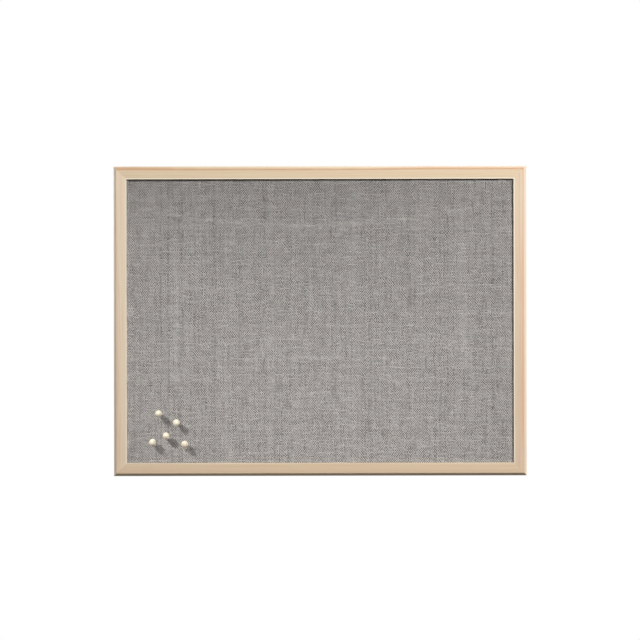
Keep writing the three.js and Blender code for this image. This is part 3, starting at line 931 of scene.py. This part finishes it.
def hanger_strap(name, sizes, axis):
    """A strip rounded at its lower end and curled round the ring at its upper end."""
    low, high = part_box("left_hanger_strap")
    half, edge = (high.x - low.x) / 2, 0.12 * MM
    piece = block(
        name, (axis.x - half, low.y, low.z), (axis.x + half, low.y + sizes.strap, axis.z)
    )
    start_shaping(piece)
    mark_through(piece, lambda p: p.z < low.z + TINY)
    bpy.ops.mesh.bevel(offset=half * 0.98, segments=10, profile=0.5)  # nearly a half circle
    mark(piece, "FACE", lambda p: p.z > axis.z - TINY)
    sweep(-sizes.strap_curl, axis, (1, 0, 0), 18)
    soften(piece, edge, degrees=50)
    clean(piece)
    return piece


def hanger_ring(name, sizes, axis):
    """Wire bent into a ring with square shoulders and a round bow."""
    half, corner, split = sizes.ring_half, sizes.ring_corner, sizes.ring_split / 2
    shoulder, bow, edge = half - corner, half - sizes.ring_drop, 0.15 * MM
    clear_bench()
    bpy.ops.mesh.primitive_circle_add(
        vertices=14, radius=sizes.wire, fill_type="NGON",
        location=axis + Vector((split, 0, 0)), rotation=(0, math.pi / 2, 0),
    )
    piece = blank(name)
    start_shaping(piece)
    push(shoulder - split, 0, 0)
    sweep(90, axis + Vector((shoulder, 0, -corner)), REAR, 8)
    push(0, 0, bow + corner)
    sweep(180, axis + Vector((0, 0, bow)), REAR, 24)
    push(0, 0, -bow - corner)
    sweep(90, axis + Vector((-shoulder, 0, -corner)), REAR, 8)
    push(shoulder - split, 0, 0)
    soften(piece, edge, degrees=60)
    clean(piece)
    return piece


def hanger_screw(name, node, sizes):
    """A round-headed screw with a cross recess, its head to the rear."""
    low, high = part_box(node)
    head, height, shank = (high.x - low.x) / 2, sizes.screw_head, sizes.screw_shank
    tip, blunt = low.y - (high.y - height), 0.05 * MM
    profile = [(blunt, tip), (shank, tip + sizes.screw_point), (shank, 0), (head, 0)]
    profile += [(head * across, height * up) for across, up in SCREW_DOME]
    piece = turned(name, [*profile, (0, height)], 32)
    clean(piece)
    long, short, floor = 1.6 * MM, 0.4 * MM, height - 1 * MM  # halves of a slot, and its floor
    for x, y in ((long, short), (short, long)):
        cut_away(piece, block("slot", (-x, -y, floor), (x, y, 2 * height)))
    middle = (low + high) / 2
    lay(piece, UP.rotation_difference(REAR), (middle.x, high.y - height, middle.z))
    clean(piece)
    return piece


class PINBOARD_OT_hangers(bpy.types.Operator):
    """Strap, ring and screw on the rear of each stile"""

    bl_idname = "pinboard.hangers"
    bl_label = "Ring hangers"

    def execute(self, context):
        sizes, colours = chosen(context)
        steel = plated_steel("plated_hangers", colours)
        left, right = [Vector(JOINTS[f"{hand}_ring"]["pos_m"]) for hand in ("left", "right")]
        models = {
            "strap": hanger_strap("left_strap_steel", sizes, left),
            "ring": hanger_ring("left_ring_steel", sizes, left),
            "screw": hanger_screw("left_screw_steel", "left_hanger_screw", sizes),
        }
        for part, piece in models.items():
            twin = copy_of(piece, f"right_{part}_steel")
            lay(twin, Quaternion(), right - left)
            for hand, made in (("left", piece), ("right", twin)):
                body = f"{hand}_ring" if part == "ring" else "board"
                dress(made, steel, body, [f"{hand}_hanger_{part}"])
        return {"FINISHED"}


class PINBOARD_OT_pads(bpy.types.Operator):
    """Felt pads that hold the bottom rail off the wall"""

    bl_idname = "pinboard.pads"
    bl_label = "Felt pads"

    def execute(self, context):
        sizes, colours = chosen(context)
        finish = felt("grey_felt", colours)
        low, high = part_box("left_felt_pad")
        radius, thick = (high.z - low.z) / 2, high.y - low.y
        ease, glued_edge = sizes.pad_edge, 0.2 * MM
        profile = [(radius * 0.99, 0), (radius, glued_edge)]
        profile += arc((radius - ease, thick - ease), ease, 0, 80, 5)
        profile += [(radius * 0.5, thick), (0, thick)]
        pad = turned("left_pad_felt", profile, 40)
        facing = UP.rotation_difference(REAR)
        twin = copy_of(pad, "right_pad_felt")
        for hand, piece in (("left", pad), ("right", twin)):
            low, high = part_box(f"{hand}_felt_pad")
            lay(piece, facing, ((low.x + high.x) / 2, low.y, (low.z + high.z) / 2))
            clean(piece)
            dress(piece, finish, "board", [f"{hand}_felt_pad"])
        return {"FINISHED"}


# Push pins


def pin_head_profile(sizes):
    """Foot, flared neck and ball."""
    angle = math.radians(sizes.neck)
    start = Vector((sizes.foot, 0))
    end = Vector((sizes.ball * math.cos(angle), sizes.ball_height - sizes.ball * math.sin(angle)))
    bend = Vector((sizes.foot, end.y - (end.x - start.x) / math.tan(angle)))
    foot_edge, neck_steps = 0.12 * MM, 9
    profile = [(sizes.foot * 0.9, 0.0), (sizes.foot, foot_edge)]
    for i in range(1, neck_steps):
        t = i / neck_steps
        profile.append(tuple(start * (1 - t) ** 2 + bend * (2 * t * (1 - t)) + end * t**2))
    profile += arc((0, sizes.ball_height), sizes.ball, -sizes.neck, 86, 16)
    return [*profile, (0, sizes.ball_height + sizes.ball)]


def pin_foot(pin, sizes, axis):
    """Where the middle of a pin's foot is, from the place of its needle."""
    points = [corner.co for corner in frame["nodes"][f"{pin}_needle"].data.vertices]
    tip = min(points, key=lambda point: point.dot(axis))
    return tip + axis * sizes.needle_reach


class PINBOARD_OT_pins(bpy.types.Operator):
    """Turned wooden push pins with steel needles"""

    bl_idname = "pinboard.pins"
    bl_label = "Push pins"

    def execute(self, context):
        sizes, colours = chosen(context)
        steel = plated_steel("bright_needles", colours)
        reach, bite, blunt = -sizes.needle_reach, sizes.needle_bite, 0.03 * MM
        needle_profile = [
            (blunt, reach), (sizes.needle * 0.6, reach + sizes.needle_tip * 0.5),
            (sizes.needle, reach + sizes.needle_tip), (sizes.needle, bite), (0, bite),
        ]
        models = {
            "head": turned("head_model", pin_head_profile(sizes), 40),
            "needle": turned("needle_model", needle_profile, 16),
        }
        for i, warmth in PINS.items():
            pin = f"pin_{i}"
            axis = Vector(JOINTS[pin]["axis"]).normalized()
            foot = pin_foot(pin, sizes, axis)
            wood = pin_wood(f"pin_wood_{i}", colours, axis, warmth)
            for part, finish, slot in (("head", wood, "pin_wood"), ("needle", steel, "steel")):
                node = f"{pin}_{part}"
                piece = copy_of(models[part], f"{node}_turned")
                lay(piece, UP.rotation_difference(axis), foot)
                clean(piece)
                dress(piece, finish, pin, [node])
        for model in models.values():
            bpy.data.objects.remove(model)
        return {"FINISHED"}


# Stage


def lamp(name, aim, towards, distance, size, level, spread=180, receivers=(), blockers=()):
    """A square lamp; level 1 lights a surface that faces it as brightly as its colour says.

    Only the receivers are lit, and where blockers are named, only those cast shadows.
    """
    direction = Vector(towards).normalized()
    bpy.ops.object.light_add(type="AREA", location=Vector(aim) + direction * distance)
    light = bpy.context.object
    light.name = light.data.name = name
    light.rotation_euler = (-direction).to_track_quat("-Z", "Y").to_euler()
    light.data.size = size
    light.data.spread = math.radians(spread)
    light.data.energy = level * (math.pi * distance) ** 2
    if spread < 180:
        half = math.radians(spread) / 2
        light.data.energy *= 1 - half / math.tan(half)
    light.visible_camera = False
    for use, objects in (("receiver", receivers), ("blocker", blockers)):
        if objects:
            linked = bpy.data.collections.new(f"{name}_{use}s")
            for item in objects:
                linked.objects.link(item)
            setattr(light.light_linking, f"{use}_collection", linked)


class PINBOARD_OT_stage(bpy.types.Operator):
    """Floor, lamps, white surround and camera"""

    bl_idname = "pinboard.stage"
    bl_label = "Stage"

    def execute(self, context):
        self.make_surround(context.scene)
        self.make_floor(context.scene.pinboard_colours)
        self.make_lamps()
        self.make_camera(context.scene)
        context.scene.view_settings.view_transform = "Standard"
        return {"FINISHED"}

    def make_surround(self, scene):
        scene.world = bpy.data.worlds.new("white_surround")
        surround = Finish(scene.world, "Background")
        ambient = 0.05  # what it adds to the lamps; seen itself, it is white
        strength = surround.seen() * (1 - ambient) + ambient
        surround.done(Color=(1, 1, 1, 1), Strength=strength)

    def make_floor(self, colours):
        radius, drop = 0.75, 0.6
        fade_from, fade_to = 300.0, 745.0  # millimetres from its middle, where it turns white
        clear_bench()
        bpy.ops.mesh.primitive_circle_add(
            vertices=96, radius=radius, fill_type="NGON", location=(0, 0, -drop)
        )
        floor = blank("floor")
        finish = new_finish("pale_floor")
        x, y, _ = finish.place()
        grain = finish.noise(x / 40, y / 40, 0.0, 4.0)
        finish.done(Base_Color=finish.tint(colours.floor, 0.98 + grain * 0.04), Roughness=0.8)
        rim = finish.ramp(finish.sum("SQRT", x * x + y * y), fade_from, fade_to)
        share = finish.seen() * (0.5 + rim * 0.5)
        glow = finish.node("ShaderNodeEmission", sockets={"Color": (1, 1, 1, 1)})
        pale = Wire(finish, finish.shader.outputs[0])
        blend = finish.node("ShaderNodeMixShader", sockets={0: share, 1: pale, 2: glow})
        finish.connect(finish.tree.nodes["Material Output"], {"Surface": blend})
        floor.data.materials.append(finish.owner)
        floor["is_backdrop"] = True

    def make_lamps(self):
        pieces = {piece.name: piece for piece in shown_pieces()}
        pins = [piece for name, piece in pieces.items() if name.startswith("pin_")]
        wood = [piece for name, piece in pieces.items() if name.endswith("_moulding")]
        front = [pieces["linen_sheet"], *pins]
        rest = [piece for piece in pieces.values() if piece not in front]
        middle = (0, FRONT, 0)
        # Frame and rear: all but the linen and its pins.
        lamp("right_lamp_frame", middle, (0.65, -1, 0.68), 2.5, 0.6, 0.95, receivers=rest)
        lamp("left_lamp_frame", middle, (-1.05, -1, 0.65), 3.2, 0.7, 0.32, receivers=rest)
        lamp("right_strip", middle, (1, 0.1, 0.1), 2.4, 0.6, 0.35, receivers=rest)
        # Linen and pins: the pins' shadows on the linen come from the left lamp alone.
        right_side, pin_corner = (0.3, -0.016, 0.0), (-0.14, -0.016, -0.165)
        lamp(
            "right_lamp_linen", right_side, (0.6, -1, 0.69), 2.4, 0.4, 1.22,
            spread=41.1, receivers=front, blockers=wood,
        )
        lamp(
            "left_lamp_linen", pin_corner, (-1.05, -1, 1.06), 2.4, 0.4, 1.34,
            spread=23.5, receivers=front, blockers=[*pins, pieces["top_rail_moulding"]],
        )
        lamp("pin_fill", pin_corner, (0.3, -1, -0.3), 2.4, 0.8, 0.14, receivers=pins)
        everything, floor = [*pieces.values()], bpy.data.objects["floor"]
        lamp("rear_lamp", middle, (0.5, 1, 0.9), 2.4, 1.2, 0.9, receivers=everything)
        lamp("rear_fill", middle, (-0.9, 1, 0.3), 2.4, 1.2, 0.5, receivers=everything)
        lamp("floor_lamp", middle, (0.1, -0.3, 1), 3.2, 0.7, 0.3, receivers=[floor])

    def make_camera(self, scene):
        distance, across = 3.5, 0.9287  # metres to the frame, and across the picture there
        aim_x, aim_z, roll = -0.0002, 0.0014, 0.11  # metres and degrees
        bpy.ops.object.camera_add(
            location=(aim_x, FRONT - distance, aim_z),
            rotation=(math.pi / 2, math.radians(roll), 0),
        )
        camera = bpy.context.object
        camera.data.lens = camera.data.sensor_width * distance / across
        scene.camera = camera


class PINBOARD_PT_panel(bpy.types.Panel):
    """Sizes, colours and steps of the pin board"""

    bl_idname = "PINBOARD_PT_panel"
    bl_label = "Pin Board"
    bl_space_type = "VIEW_3D"
    bl_region_type = "UI"
    bl_category = "Pin Board"

    def draw(self, context):
        for group in chosen(context):
            column = self.layout.column()
            for key in type(group).__annotations__:
                column.prop(group, key)
        for step in STEPS:
            self.layout.operator(step.bl_idname)


STEPS = (
    PINBOARD_OT_frame,
    PINBOARD_OT_linen,
    PINBOARD_OT_back,
    PINBOARD_OT_fastenings,
    PINBOARD_OT_hangers,
    PINBOARD_OT_pads,
    PINBOARD_OT_pins,
    PINBOARD_OT_stage,
)
CLASSES = (PinBoardSizes, PinBoardColours, *STEPS, PINBOARD_PT_panel)


def register():
    for item in CLASSES:
        bpy.utils.register_class(item)
    bpy.types.Scene.pinboard_sizes = PointerProperty(type=PinBoardSizes)
    bpy.types.Scene.pinboard_colours = PointerProperty(type=PinBoardColours)


def unregister():
    del bpy.types.Scene.pinboard_colours
    del bpy.types.Scene.pinboard_sizes
    for item in reversed(CLASSES):
        bpy.utils.unregister_class(item)


def main():
    register()
    bpy.ops.pinboard.frame()
    bpy.ops.pinboard.linen()
    bpy.ops.pinboard.back()
    bpy.ops.pinboard.fastenings()
    bpy.ops.pinboard.hangers()
    bpy.ops.pinboard.pads()
    bpy.ops.pinboard.pins()
    bpy.ops.pinboard.stage()


if __name__ == "__main__":
    main()
